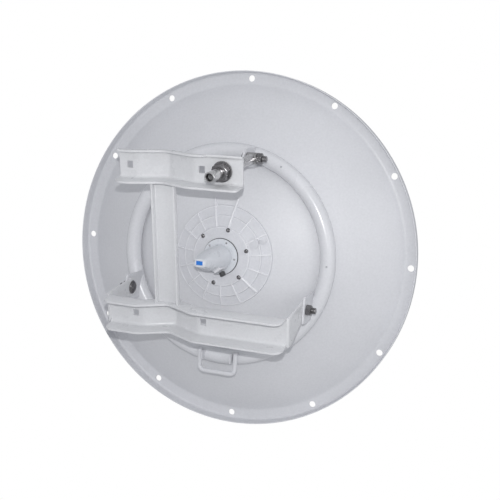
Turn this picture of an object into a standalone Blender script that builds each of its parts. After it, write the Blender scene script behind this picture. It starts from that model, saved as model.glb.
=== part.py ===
"""Microwave dish antenna on a pressed-steel pole mount. Metres, +Z up.

The origin lies on the flat of the lower bracket that faces the pole clamp, halfway up it. The dish looks
along +Y and hangs on two side pivots, and a threaded rod at the top sets its elevation."""

import math

import bmesh
import bpy

# Clearance between pieces that touch
GAP = 0.0003

# Middle of the dish and the side pivots, seen from the mount
MID_X = -0.0525
DOWNTILT = math.radians(11.0)
PIVOT_Y = 0.1255
PIVOT_Z = 0.0125
PIVOT_BEHIND_RIM = 0.181
PIVOT_BELOW_AXIS = 0.1014

# Reflector
RIM_R = 0.4724
RIM_BOLT_R = 0.455
RIM_BOLTS = 12
RIM_HOLE_R = 0.0067
RIM_HOLE_STEPS = 16
LIP_DEPTH = 0.0325
LIP_BEND_R = 0.006
DISH_DEPTH = 0.139
FOCAL_LENGTH = 0.34875
SHELL = 0.0025
DISH_STEPS = 72
DISH_RINGS = 9

# Round tube behind the reflector
RING_R = 0.267
RING_TUBE_R = 0.020
RING_BEHIND_RIM = 0.1093
RING_SIDES = 16

# Moulded hub
HUB_R = 0.1295
HUB_PLATEAU_R = 0.074
HUB_PLATEAU_H = 0.152
HUB_TERRACES = ((0.078, 0.1455), (0.1035, 0.1415), (0.1055, 0.1370), (0.1275, 0.1325), (0.1295, 0.1300))
HUB_STEPS = 48
RIB_COUNT = 15
RIB_PHASE = 7
LONG_RIBS = (3, 4)
RIB_THICK = 0.0028
RIB_CREST = ((0.070, 0.1495), (0.082, 0.1495), (0.1045, 0.1455), (0.1265, 0.1365))
RIB_ROOT_R = 0.105
RIB_ROOT_CLEAR = 0.002
RIB_INNER_LOW = 0.140
RIB_END_HIGH = 0.004
RIB_OUTER_R = 0.127
LONG_RIB_OUTER_R = 0.150

# Rear feed
GASKET_R = 0.0475
GASKET_THICK = 0.0014
FLANGE_R = 0.0455
FLANGE_THICK = 0.0036
FLANGE_EDGE = 0.0008
FEED_BASE_R = 0.0315
FEED_NECK_R = 0.0308
FEED_NECK_H = 0.185
FEED_END_R = 0.0185
FEED_END_H = 0.288
FEED_EDGE = 0.002
PORT_WIDE = 0.024
PORT_HIGH = 0.0105
PORT_DEEP = 0.008
WINDOW_THICK = 0.002
WINDOW_SUNK = 0.0012
BOSS_WIDE = 0.022
BOSS_X = 0.003
BOSS_HIGH = 0.016
BOSS_LONG = 0.032
BOSS_MIDDLE_H = 0.1765
BOSS_MIDDLE_Z = -0.030
PLUG_R = 0.0062
PLUG_LONG = 0.012
PLUG_X = 0.0085
PLUG_H = 0.170

# Front feed
COLLAR_R = 0.044
COLLAR_THICK = 0.006
TUBE_R = 0.016
TUBE_END_Y = 0.158
CONE_END_R = 0.044
CONE_LONG = 0.034
SPLASH_R = 0.048
SPLASH_THICK = 0.007
SPLASH_EDGE_THICK = 0.0042
SPLASH_CHAMFER = 0.004

# Carrying handle
HANDLE_BAR_R = 0.006
HANDLE_HALF_WIDE = 0.049
HANDLE_TOP_Z = -0.246
HANDLE_LOW_Z = -0.305
HANDLE_BEND_R = 0.014
CLIP_X = 0.0395
CLIP_THICK = 0.0025
CLIP_HIGH = 0.022
CLIP_PROUD = 0.020
CLIP_SUNK = 0.006

# Lugs on the ring
LUG_THICK = 0.005
SIDE_LUG_REACH = 0.020
SIDE_LUG_HALF = 0.034
SIDE_LUG_CORNER = 0.009
SIDE_LUG_ROOT_Y = -0.116
TOP_LUG_X = 0.0607
TOP_LUG_R = 0.023
TOP_LUG_ROOT = ((-0.112, 0.279), (-0.105, 0.276), (-0.105, 0.232), (-0.112, 0.227))
TOP_PIN_BEHIND_RIM = 0.1835
TOP_PIN_ABOVE_AXIS = 0.2521

# Pressed brackets
SHEET = 0.0045
BEND_R = 0.012
FLANGE_DEEP = 0.045
CORNER_STEPS = 5
VEE_LEFT = -0.134
VEE_MIDDLE = -0.062
VEE_RIGHT = 0.010
SQUARE_WIDE = 0.0145
SQUARE_HIGH = 0.0165

# Upper bracket
UPPER_LOW = 0.3341
UPPER_HIGH = 0.4055
UPPER_LEFT = -0.176
UPPER_RIGHT = 0.1255
UPPER_TOP_DEEP = 0.021
UPPER_LIP_DEEP = 0.0078
UPPER_STEP_X = 0.0386
UPPER_STEP_LONG = 0.006
UPPER_TOP_CORNER = 0.008
UPPER_LEFT_CORNER = 0.024
UPPER_RIGHT_CORNER = 0.010
UPPER_VEE_DEEP = 0.0238
UPPER_SQUARE_X = (-0.1504, 0.0281)
UPPER_SQUARE_Z = 0.3688

# Lower bracket
LOWER_LOW = -0.035
LOWER_HIGH = 0.040
LOWER_CORNER = 0.022
LOWER_END = 0.2235
LOWER_VEE_DEEP = 0.0325
LOWER_SQUARE_X = (-0.1543, 0.0227)
LOWER_SQUARE_Z = 0.0012

# Side arms of the lower bracket
ARM_OUT_X = 0.2345
ARM_BEND_R = 0.002
ARM_NOTCH = 0.003
ARM_TAPER_Y = 0.024
EAR_R = 0.0245
EAR_RISE = 0.002
EAR_START = math.radians(114)
EAR_STEP = math.radians(16)

# Column between the brackets
COLUMN_X = -0.065
COLUMN_WIDE = 0.059
COLUMN_FRONT = -0.0145
COLUMN_BEND_R = 0.007

# Side pivot bolts and the top pin
BOLT_R = 0.0078
BOLT_HOLE_R = 0.0083
HEAD_R = 0.0175
HEAD_HIGH = 0.0088
NUT_FLATS = 0.024
NUT_THICK = 0.013
BOLT_PROUD = 0.0105
BOLT_CHAMFER = 0.0015
HEAD_DOME = ((0.35, 0.95), (0.68, 0.72), (0.92, 0.36), (1, 0))

# Threaded adjuster
ROD_X = 0.078
ROD_R = 0.012
ROD_LONG = 0.2683
ROD_WEB_Z = 0.3683
ROD_RECESS_R = 0.0078
ROD_RECESS_DEEP = 0.014
EYE_R = 0.0145
EYE_LONG = 0.026
ROD_NUT_FLATS = 0.036
FRONT_NUT_THICK = 0.019
REAR_NUT_THICK = 0.012
ROD_WASHER_R = 0.0235
ROD_WASHER_THICK = 0.004
ROD_BORE_R = 0.0124
ROD_CHAMFER = 0.0015
ROD_NUT_TURN = 0.3
WASHER_FREE = 0.0009
SLOT_HALF_WIDE = 0.0145
SLOT_HALF_HIGH = 0.0168
SLOT_Z = 0.3684

# Facets round small turned pieces
FINE_STEPS = 24

# Length of the cutters through a sheet
CUT_DEEP = 0.03

# Colours, roughness and metallic values
FINISHES = {
    "dish_paint": ((0.60, 0.61, 0.64), 0.45, 0.0),
    "frame_paint": ((0.62, 0.63, 0.65), 0.40, 0.0),
    "hub_plastic": ((0.60, 0.61, 0.64), 0.50, 0.0),
    "feed_paint": ((0.52, 0.54, 0.56), 0.35, 0.0),
    "steel": ((0.30, 0.30, 0.30), 0.35, 1.0),
    "dark_steel": ((0.06, 0.06, 0.065), 0.40, 1.0),
    "black_rubber": ((0.02, 0.02, 0.02), 0.60, 0.0),
    "blue_film": ((0.02, 0.15, 0.55), 0.30, 0.0),
    "dielectric": ((0.75, 0.75, 0.72), 0.50, 0.0),
    "aluminium": ((0.70, 0.70, 0.72), 0.30, 1.0),
}

# Object rotations that turn local axes to the part's
REARWARD = (math.pi / 2, 0, 0)
SIDEWAYS = (0, math.pi / 2, 0)
YZ_PLANE = (math.pi / 2, 0, math.pi / 2)


def clear_scene():
    for obj in list(bpy.data.objects):
        bpy.data.objects.remove(obj, do_unlink=True)


def new_collection(name):
    collection = bpy.data.collections.new(name)
    bpy.context.scene.collection.children.link(collection)
    return collection


def finish(name):
    material = bpy.data.materials.get(name)
    if material:
        return material
    colour, roughness, metallic = FINISHES[name]
    material = bpy.data.materials.new(name)
    material.use_nodes = True
    shader = material.node_tree.nodes["Principled BSDF"]
    shader.inputs["Base Color"].default_value = (*colour, 1)
    shader.inputs["Roughness"].default_value = roughness
    shader.inputs["Metallic"].default_value = metallic
    return material


def empty(name, location, rotation=(0, 0, 0), parent=None):
    obj = bpy.data.objects.new(name, None)
    obj.empty_display_size = 0.03
    obj.location = location
    obj.rotation_euler = rotation
    obj.parent = parent
    PARTS.objects.link(obj)
    return obj


def piece(name, mesh, look, parent, location=(0, 0, 0), rotation=(0, 0, 0)):
    """A named sub-part made from a mesh."""
    obj = bpy.data.objects.new(name, mesh)
    obj.location = location
    obj.rotation_euler = rotation
    obj.parent = parent
    mesh.materials.append(finish(look))
    mesh.shade_smooth()
    mesh.set_sharp_from_angle(angle=math.radians(35))
    PARTS.objects.link(obj)
    return obj


def cutter(name, mesh, parent, location=(0, 0, 0), rotation=(0, 0, 0)):
    obj = bpy.data.objects.new(name, mesh)
    obj.location = location
    obj.rotation_euler = rotation
    obj.parent = parent
    obj.hide_render = True
    obj.display_type = "WIRE"
    CUTTERS.objects.link(obj)
    return obj


def boolean(obj, other, operation="DIFFERENCE"):
    modifier = obj.modifiers.new(other.name, "BOOLEAN")
    modifier.operation = operation
    modifier.solver = "EXACT"
    modifier.object = other
    return modifier


def profile_mesh(name, profile, closed):
    """An outline of (radius, height) points in the local XZ plane."""
    mesh = bpy.data.meshes.new(name)
    edges = [(i, i + 1) for i in range(len(profile) - 1)]
    if closed:
        edges.append((len(profile) - 1, 0))
    mesh.from_pydata([(r, 0, h) for r, h in profile], edges, [])
    return mesh


def screw(obj, steps):
    modifier = obj.modifiers.new("turn", "SCREW")
    modifier.steps = steps
    modifier.render_steps = steps
    modifier.use_merge_vertices = True
    modifier.merge_threshold = 0.00001
    modifier.use_smooth_shade = True


def turned(name, profile, look, parent, location, rotation=REARWARD, closed=False, steps=FINE_STEPS):
    """A turned solid whose profile runs out and down its outer side."""
    obj = piece(name, profile_mesh(name, profile, closed), look, parent, location, rotation)
    screw(obj, steps)
    return obj


def washer_profile(inner, outer, low, high):
    return [(inner, high), (outer, high), (outer, low), (inner, low)]


def arc(centre, radius, start, end, count):
    """Points on an arc, angles in degrees."""
    points = []
    for i in range(count + 1):
        angle = math.radians(start + (end - start) * i / count)
        points.append((centre[0] + radius * math.cos(angle), centre[1] + radius * math.sin(angle)))
    return points


def circle(centre, radius, count=FINE_STEPS):
    return arc(centre, radius, 0, 360, count)[:-1]


def hexagon(flats):
    return circle((0, 0), flats / math.sqrt(3), 6)


def plate_mesh(name, outlines, thickness):
    """A flat plate in the local XY plane, centred on it. Outlines after the first are holes."""
    curve = bpy.data.curves.new(name, "CURVE")
    curve.dimensions = "2D"
    curve.fill_mode = "BOTH"
    curve.extrude = thickness / 2
    for outline in outlines:
        spline = curve.splines.new("POLY")
        spline.points.add(len(outline) - 1)
        spline.use_cyclic_u = True
        for point, (x, y) in zip(spline.points, outline):
            point.co = (x, y, 0, 1)
    return welded_mesh(name, curve)


def welded_mesh(name, curve):
    """The closed mesh of a curve, with its caps welded on."""
    guide = bpy.data.objects.new(name + "_guide", curve)
    CUTTERS.objects.link(guide)
    graph = bpy.context.evaluated_depsgraph_get()
    mesh = bpy.data.meshes.new_from_object(guide.evaluated_get(graph))
    bpy.data.objects.remove(guide, do_unlink=True)
    mesh.materials.clear()
    solid = bmesh.new()
    solid.from_mesh(mesh)
    bmesh.ops.remove_doubles(solid, verts=solid.verts, dist=0.00001)
    bmesh.ops.recalc_face_normals(solid, faces=solid.faces)
    solid.to_mesh(mesh)
    solid.free()
    return mesh


def box_mesh(name, size):
    solid = bmesh.new()
    bmesh.ops.create_cube(solid, size=1)
    bmesh.ops.scale(solid, vec=size, verts=solid.verts)
    mesh = bpy.data.meshes.new(name)
    solid.to_mesh(mesh)
    solid.free()
    return mesh


def cylinder_mesh(name, radius, length, count=FINE_STEPS):
    solid = bmesh.new()
    bmesh.ops.create_cone(
        solid, cap_ends=True, segments=count, radius1=radius, radius2=radius, depth=length
    )
    mesh = bpy.data.meshes.new(name)
    solid.to_mesh(mesh)
    solid.free()
    return mesh


def dish_rings():
    """(radius, height behind the rim plane) of each ring of the reflector's rear surface."""
    edge_r = math.sqrt(4 * FOCAL_LENGTH * DISH_DEPTH)
    radii = [edge_r * i / DISH_RINGS for i in range(DISH_RINGS + 1)]
    return [(r, DISH_DEPTH - r * r / (4 * FOCAL_LENGTH)) for r in radii]


def dish_height(r):
    """How far behind the rim plane the reflector's faceted rear surface lies."""
    rings = dish_rings()
    for (r0, h0), (r1, h1) in zip(rings, rings[1:]):
        if r <= r1:
            return h0 + (h1 - h0) * (r - r0) / (r1 - r0)
    return 0.0


def make_reflector(rim):
    profile = dish_rings()
    lip_r = RIM_R - SHELL
    profile += arc((lip_r - LIP_BEND_R, LIP_BEND_R), LIP_BEND_R, -90, 0, 3)
    profile.append((lip_r, LIP_DEPTH))
    obj = turned("reflector", profile, "dish_paint", rim, (0, 0, 0), steps=DISH_STEPS)
    shell = obj.modifiers.new("shell", "SOLIDIFY")
    shell.thickness = SHELL
    shell.use_even_offset = True
    solid = bmesh.new()
    for k in range(RIM_BOLTS):
        angle = 2 * math.pi * k / RIM_BOLTS
        made = bmesh.ops.create_cone(
            solid, cap_ends=True, segments=RIM_HOLE_STEPS, radius1=RIM_HOLE_R, radius2=RIM_HOLE_R,
            depth=CUT_DEEP
        )
        place = (RIM_BOLT_R * math.cos(angle), RIM_BOLT_R * math.sin(angle), 0)
        bmesh.ops.translate(solid, vec=place, verts=made["verts"])
    mesh = bpy.data.meshes.new("rim_holes")
    solid.to_mesh(mesh)
    solid.free()
    boolean(obj, cutter("rim_holes", mesh, rim, rotation=REARWARD))


def ring_mesh(name, tube_r):
    """A round tube bent to a full circle, about local Z."""
    mesh = profile_mesh(name, circle((RING_R, 0), tube_r, RING_SIDES)[::-1], True)
    guide = bpy.data.objects.new(name + "_guide", mesh)
    CUTTERS.objects.link(guide)
    screw(guide, DISH_STEPS)
    graph = bpy.context.evaluated_depsgraph_get()
    turned_mesh = bpy.data.meshes.new_from_object(guide.evaluated_get(graph))
    bpy.data.objects.remove(guide, do_unlink=True)
    return turned_mesh


def make_ring(rim):
    place = (0, -RING_BEHIND_RIM, 0)
    piece("back_ring", ring_mesh("back_ring", RING_TUBE_R), "dish_paint", rim, place, REARWARD)
    return cutter("ring_seat", ring_mesh("ring_seat", RING_TUBE_R + GAP), rim, place, REARWARD)


def rounded_lug(front, back, low, high, corner):
    """A plate outline with its two front corners rounded."""
    points = [(back, low)]
    points += arc((front + corner, low + corner), corner, 270, 180, 5)
    points += arc((front + corner, high - corner), corner, 180, 90, 5)
    points.append((back, high))
    return points


def make_lugs(rim, ring_seat):
    pin_y = -PIVOT_BEHIND_RIM
    pin_z = -PIVOT_BELOW_AXIS
    low = pin_z - SIDE_LUG_HALF
    high = pin_z + SIDE_LUG_HALF
    outline = rounded_lug(pin_y - SIDE_LUG_REACH, SIDE_LUG_ROOT_Y, low, high, SIDE_LUG_CORNER)
    lug_x = ARM_OUT_X + GAP + LUG_THICK / 2
    for name, side in (("left_lug", -1), ("right_lug", 1)):
        mesh = plate_mesh(name, [outline, circle((pin_y, pin_z), BOLT_HOLE_R)], LUG_THICK)
        obj = piece(name, mesh, "dish_paint", rim, (side * lug_x, 0, 0), YZ_PLANE)
        boolean(obj, ring_seat)
    pin = (-TOP_PIN_BEHIND_RIM, TOP_PIN_ABOVE_AXIS)
    outline = arc(pin, TOP_LUG_R, 250, 105, 10) + list(TOP_LUG_ROOT)
    mesh = plate_mesh("top_lug", [outline, circle(pin, BOLT_HOLE_R)], LUG_THICK)
    obj = piece("top_lug", mesh, "dish_paint", rim, (TOP_LUG_X + LUG_THICK / 2, 0, 0), YZ_PLANE)
    boolean(obj, ring_seat)


def hub_profile():
    outer = [(0, HUB_PLATEAU_H), (HUB_PLATEAU_R, HUB_PLATEAU_H)] + list(HUB_TERRACES)
    seat = [(r, h + GAP) for r, h in dish_rings() if r < HUB_R]
    return outer + [(HUB_R, dish_height(HUB_R) + GAP)] + seat[::-1]


def make_hub(rim):
    hub = turned("hub", hub_profile(), "hub_plastic", rim, (0, 0, 0), steps=HUB_STEPS)
    for k in range(RIB_COUNT):
        angle = RIB_PHASE + 360 * k / RIB_COUNT
        outer_r = LONG_RIB_OUTER_R if k in LONG_RIBS else RIB_OUTER_R
        outline = list(RIB_CREST)
        outline.append((outer_r, dish_height(outer_r) + RIB_END_HIGH))
        outline.append((outer_r, dish_height(outer_r) + GAP))
        outline.append((RIB_ROOT_R, dish_height(RIB_ROOT_R) + RIB_ROOT_CLEAR))
        outline.append((RIB_CREST[0][0], RIB_INNER_LOW))
        mesh = plate_mesh(f"rib_{k}", [outline], RIB_THICK)
        holder = empty(f"rib_axis_{k}", (0, 0, 0), REARWARD, rim)
        turn = empty(f"rib_turn_{k}", (0, 0, 0), (0, 0, math.radians(angle)), holder)
        rib = cutter(f"rib_{k}", mesh, turn, rotation=REARWARD)
        boolean(hub, rib, "UNION")


def make_feed(rim):
    low = HUB_PLATEAU_H + GAP
    high = low + GASKET_THICK
    turned("feed_gasket", [(0, high), (GASKET_R, high), (GASKET_R, low), (0, low)], "black_rubber", rim,
           (0, 0, 0), steps=40)
    low = high + GAP
    high = low + FLANGE_THICK
    profile = [(0, high), (FLANGE_R - FLANGE_EDGE, high), (FLANGE_R, high - FLANGE_EDGE)]
    profile += [(FLANGE_R, low), (0, low)]
    turned("feed_flange", profile, "feed_paint", rim, (0, 0, 0), steps=40)
    low = high + GAP
    profile = [(0, FEED_END_H), (FEED_END_R - FEED_EDGE, FEED_END_H), (FEED_END_R, FEED_END_H - FEED_EDGE)]
    profile += [(FEED_NECK_R, FEED_NECK_H), (FEED_BASE_R, low), (0, low)]
    body = turned("feed_body", profile, "feed_paint", rim, (0, 0, 0), steps=32)
    lobe = box_mesh("feed_lobe", (BOSS_WIDE, BOSS_LONG, BOSS_HIGH))
    boolean(body, cutter("feed_lobe", lobe, rim, (BOSS_X, -BOSS_MIDDLE_H, BOSS_MIDDLE_Z)), "UNION")
    slot = box_mesh("feed_slot", (PORT_WIDE, 2 * PORT_DEEP, PORT_HIGH))
    boolean(body, cutter("feed_slot", slot, rim, (0, -FEED_END_H, 0)))
    size = (PORT_WIDE - 2 * GAP, WINDOW_THICK, PORT_HIGH - 2 * GAP)
    place = (0, -(FEED_END_H - WINDOW_SUNK - WINDOW_THICK / 2), 0)
    piece("feed_port_window", box_mesh("feed_port_window", size), "blue_film", rim, place)
    top = BOSS_MIDDLE_Z - BOSS_HIGH / 2 - GAP
    mesh = cylinder_mesh("feed_plug", PLUG_R, PLUG_LONG)
    piece("feed_plug", mesh, "black_rubber", rim, (PLUG_X, -PLUG_H, top - PLUG_LONG / 2))


def make_front_feed(rim):
    """Collar, waveguide tube, dielectric cone and splash plate on the reflector's axis."""
    start = -dish_height(0) + SHELL + GAP
    profile = [(0, -start), (COLLAR_R, dish_height(COLLAR_R) - SHELL - GAP)]
    profile += [(COLLAR_R, -start - COLLAR_THICK), (0, -start - COLLAR_THICK)]
    turned("front_collar", profile, "feed_paint", rim, (0, 0, 0), steps=32)
    foot = start + COLLAR_THICK + GAP
    profile = [(0, -foot), (TUBE_R, -foot), (TUBE_R, -TUBE_END_Y), (0, -TUBE_END_Y)]
    turned("feed_tube", profile, "aluminium", rim, (0, 0, 0))
    cone = TUBE_END_Y + GAP
    profile = [(0, -cone), (TUBE_R, -cone), (CONE_END_R, -cone - CONE_LONG), (0, -cone - CONE_LONG)]
    turned("feed_dielectric", profile, "dielectric", rim, (0, 0, 0), steps=32)
    plate = cone + CONE_LONG + GAP
    profile = [(0, -plate), (SPLASH_R, -plate), (SPLASH_R, -plate - SPLASH_EDGE_THICK)]
    profile += [(SPLASH_R - SPLASH_CHAMFER, -plate - SPLASH_THICK), (0, -plate - SPLASH_THICK)]
    turned("splash_plate", profile, "aluminium", rim, (0, 0, 0), steps=32)


def make_handle(rim, ring_seat):
    curve = bpy.data.curves.new("handle", "CURVE")
    curve.dimensions = "3D"
    curve.bevel_depth = HANDLE_BAR_R
    curve.bevel_resolution = 3
    curve.use_fill_caps = True
    x = HANDLE_HALF_WIDE
    bend = HANDLE_BEND_R
    path = [(-x, HANDLE_TOP_Z)]
    path += arc((-x + bend, HANDLE_LOW_Z + bend), bend, 180, 270, 5)
    path += arc((x - bend, HANDLE_LOW_Z + bend), bend, 270, 360, 5)
    path.append((x, HANDLE_TOP_Z))
    spline = curve.splines.new("POLY")
    spline.points.add(len(path) - 1)
    for point, (px, pz) in zip(spline.points, path):
        point.co = (px, 0, pz, 1)
    bar_y = -(RING_BEHIND_RIM + RING_TUBE_R + HANDLE_BAR_R + GAP)
    piece("handle", welded_mesh("handle", curve), "dish_paint", rim, (0, bar_y, 0))
    ring_back = RING_BEHIND_RIM + RING_TUBE_R
    inner = ring_back - CLIP_SUNK
    outer = ring_back + CLIP_PROUD
    middle_z = -math.sqrt(RING_R ** 2 - CLIP_X ** 2)
    for name, side in (("left_handle_clip", -1), ("right_handle_clip", 1)):
        mesh = box_mesh(name, (CLIP_THICK, outer - inner, CLIP_HIGH))
        clip = piece(name, mesh, "dish_paint", rim, (side * CLIP_X, -(inner + outer) / 2, middle_z))
        boolean(clip, ring_seat)


def vee(x, deep):
    """How far back a bracket's web is pressed at x, to seat a round pole."""
    if x <= VEE_LEFT or x >= VEE_RIGHT:
        return 0.0
    span = VEE_MIDDLE - VEE_LEFT if x < VEE_MIDDLE else VEE_RIGHT - VEE_MIDDLE
    return deep * (1 - abs(x - VEE_MIDDLE) / span)


def corner_xs(end, radius):
    """Stations round a flange's rounded corner, from its end inwards."""
    inward = radius if end < 0 else -radius
    angles = [math.pi / 2 * i / CORNER_STEPS for i in range(CORNER_STEPS + 1)]
    return {end + inward * (1 - math.cos(angle)) for angle in angles}


def corner_trim(x, end, radius):
    """How much a rounded corner takes off a flange's depth at x."""
    past = radius - abs(end - x)
    if past <= 0:
        return 0.0
    return radius - math.sqrt(max(radius ** 2 - past ** 2, 0))


def section(x, low, high, low_deep, top_deep, vee_deep):
    """Outer skin of the channel at x, from the top flange's free edge round to the lower one's."""
    y = vee(x, vee_deep)
    bend = SHEET - BEND_R + y
    points = [(y - top_deep, high)]
    points += arc((bend, high - BEND_R), BEND_R, 90, 0, 3)
    points += arc((bend, low + BEND_R), BEND_R, 0, -90, 3)
    points.append((y - low_deep, low))
    return [(x, py, pz) for py, pz in points]


def welded_skin(name, solid):
    """A sheet's outer skin, with its points welded and loose ones removed."""
    bmesh.ops.remove_doubles(solid, verts=solid.verts, dist=0.00001)
    loose = [v for v in solid.verts if not v.link_faces]
    bmesh.ops.delete(solid, geom=loose, context="VERTS")
    mesh = bpy.data.meshes.new(name)
    solid.to_mesh(mesh)
    solid.free()
    return mesh


def rows_mesh(name, rows):
    """A sheet's outer skin from rows of points, joined row to row."""
    solid = bmesh.new()
    grid = [[solid.verts.new(point) for point in row] for row in rows]
    for first, second in zip(grid, grid[1:]):
        for a, b, c, d in zip(first, second, second[1:], first[1:]):
            solid.faces.new((a, b, c, d))
    return welded_skin(name, solid)


def pressed(obj):
    sheet = obj.modifiers.new("sheet", "SOLIDIFY")
    sheet.thickness = SHEET
    sheet.use_even_offset = True


def cut_square_holes(obj, places, height, parent):
    for k, x in enumerate(places):
        name = f"{obj.name}_square_{k}"
        mesh = box_mesh(name, (SQUARE_WIDE, CUT_DEEP, SQUARE_HIGH))
        boolean(obj, cutter(name, mesh, parent, (x, 0, height)))


def make_upper_bracket(mount):
    step_end = UPPER_STEP_X + UPPER_STEP_LONG
    xs = {VEE_LEFT, VEE_MIDDLE, VEE_RIGHT, UPPER_STEP_X, step_end}
    xs |= corner_xs(UPPER_LEFT, UPPER_LEFT_CORNER) | corner_xs(UPPER_RIGHT, UPPER_RIGHT_CORNER)
    rows = []
    for x in sorted(xs):
        top = UPPER_TOP_DEEP if x <= UPPER_STEP_X else UPPER_LIP_DEEP
        top -= corner_trim(x, UPPER_LEFT, UPPER_TOP_CORNER)
        low = FLANGE_DEEP - corner_trim(x, UPPER_LEFT, UPPER_LEFT_CORNER)
        low -= corner_trim(x, UPPER_RIGHT, UPPER_RIGHT_CORNER)
        rows.append(section(x, UPPER_LOW, UPPER_HIGH, low, top, UPPER_VEE_DEEP))
    obj = piece("upper_bracket", rows_mesh("upper_bracket", rows), "frame_paint", mount)
    pressed(obj)
    cut_square_holes(obj, UPPER_SQUARE_X, UPPER_SQUARE_Z, mount)
    lift = SLOT_HALF_HIGH - SLOT_HALF_WIDE
    outline = arc((0, lift), SLOT_HALF_WIDE, 0, 180, 10) + arc((0, -lift), SLOT_HALF_WIDE, 180, 360, 10)
    slot = plate_mesh("rod_slot", [outline], CUT_DEEP)
    boolean(obj, cutter("rod_slot", slot, mount, (ROD_X, 0, SLOT_Z), REARWARD))


def arm_outline():
    """(y, low z, high z) stations along an arm, from the bracket's bend to the ear's end."""
    stations = [(SHEET + ARM_BEND_R, LOWER_LOW, LOWER_HIGH), (ARM_TAPER_Y, LOWER_LOW, LOWER_HIGH)]
    angles = [EAR_START] + [math.pi / 2 - EAR_STEP * i for i in range(5)]
    for angle in angles:
        y = PIVOT_Y + EAR_R * math.cos(angle)
        rise = EAR_R * math.sin(angle)
        stations.append((y, PIVOT_Z - rise, PIVOT_Z + rise * (1 + EAR_RISE / EAR_R)))
    return stations


def arm_faces(solid, side, bend_x):
    """One side arm's skin, bent back from the end of the web."""
    centre = (bend_x, SHEET + ARM_BEND_R)
    path = [(LOWER_END, SHEET, LOWER_LOW + BEND_R, LOWER_HIGH - BEND_R)]
    path.append((bend_x, SHEET, LOWER_LOW + ARM_NOTCH, LOWER_HIGH - ARM_NOTCH))
    path += [(x, y, LOWER_LOW, LOWER_HIGH) for x, y in arc(centre, ARM_BEND_R, -90, 0, 4)[1:-1]]
    path += [(bend_x + ARM_BEND_R, y, low, high) for y, low, high in arm_outline()]
    strip = []
    for x, y, low, high in path:
        strip.append((solid.verts.new((side * x, y, high)), solid.verts.new((side * x, y, low))))
    for (a, b), (c, d) in zip(strip, strip[1:]):
        solid.faces.new((a, c, d, b) if side > 0 else (a, b, d, c))


def make_lower_bracket(mount):
    bend_x = ARM_OUT_X - SHEET - ARM_BEND_R
    xs = {VEE_LEFT, VEE_MIDDLE, VEE_RIGHT}
    xs |= corner_xs(-LOWER_END, LOWER_CORNER) | corner_xs(LOWER_END, LOWER_CORNER)
    solid = bmesh.new()
    rows = []
    for x in sorted(xs):
        deep = FLANGE_DEEP - corner_trim(abs(x), LOWER_END, LOWER_CORNER)
        points = section(x, LOWER_LOW, LOWER_HIGH, deep, deep, LOWER_VEE_DEEP)
        rows.append([solid.verts.new(point) for point in points])
    for first, second in zip(rows, rows[1:]):
        for a, b, c, d in zip(first, second, second[1:], first[1:]):
            solid.faces.new((a, b, c, d))
    for side in (-1, 1):
        arm_faces(solid, side, bend_x)
    obj = piece("lower_bracket", welded_skin("lower_bracket", solid), "frame_paint", mount)
    pressed(obj)
    cut_square_holes(obj, LOWER_SQUARE_X, LOWER_SQUARE_Z, mount)
    hole = cylinder_mesh("pivot_holes", BOLT_HOLE_R, 2 * ARM_OUT_X + CUT_DEEP)
    boolean(obj, cutter("pivot_holes", hole, mount, (0, PIVOT_Y, PIVOT_Z), SIDEWAYS))


def make_column(mount):
    half = COLUMN_WIDE / 2
    bend = COLUMN_BEND_R
    skin = [(-half, COLUMN_FRONT)]
    skin += arc((-half + bend, SHEET - bend), bend, 180, 90, 3)
    skin += arc((half - bend, SHEET - bend), bend, 90, 0, 3)
    skin.append((half, COLUMN_FRONT))
    low = LOWER_HIGH + GAP
    high = UPPER_LOW - GAP
    rows = [[(x, y, z) for z in (high, low)] for x, y in skin]
    obj = piece("column", rows_mesh("column", rows), "frame_paint", mount, (COLUMN_X, 0, 0))
    pressed(obj)


def cup_bolt(name, length, parent, location, facing):
    """A cup-headed bolt along X: its head sits at the start and its end looks along facing."""
    profile = [(0, HEAD_HIGH)] + [(HEAD_R * r, HEAD_HIGH * h) for r, h in HEAD_DOME] + [(BOLT_R, 0)]
    profile += [(BOLT_R, BOLT_CHAMFER - length), (BOLT_R - BOLT_CHAMFER, -length), (0, -length)]
    turned(name, profile, "dark_steel", parent, location, (0, -facing * math.pi / 2, 0))


def hex_nut(name, flats, bore_r, thickness, look, parent, location, rotation):
    mesh = plate_mesh(name, [hexagon(flats), circle((0, 0), bore_r)], thickness)
    return piece(name, mesh, look, parent, location, rotation)


def make_side_pivots(mount):
    head_x = ARM_OUT_X - SHEET - GAP
    nut_x = ARM_OUT_X + GAP + LUG_THICK + GAP
    length = nut_x + NUT_THICK + BOLT_PROUD - head_x
    for word, side in (("left", -1), ("right", 1)):
        place = (side * head_x, PIVOT_Y, PIVOT_Z)
        cup_bolt(f"{word}_pivot_bolt", length, mount, place, side)
        place = (side * (nut_x + NUT_THICK / 2), PIVOT_Y, PIVOT_Z)
        hex_nut(f"{word}_pivot_nut", NUT_FLATS, BOLT_HOLE_R, NUT_THICK, "dark_steel", mount, place, SIDEWAYS)


def make_top_pin(rim):
    head_x = TOP_LUG_X - GAP
    nut_x = TOP_LUG_X + LUG_THICK + GAP + EYE_LONG + GAP
    length = nut_x + NUT_THICK + BOLT_PROUD - head_x
    place = (head_x, -TOP_PIN_BEHIND_RIM, TOP_PIN_ABOVE_AXIS)
    cup_bolt("top_pin_bolt", length, rim, place, 1)
    place = (nut_x + NUT_THICK / 2, -TOP_PIN_BEHIND_RIM, TOP_PIN_ABOVE_AXIS)
    hex_nut("top_pin_nut", NUT_FLATS, BOLT_HOLE_R, NUT_THICK, "dark_steel", rim, place, SIDEWAYS)


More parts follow.
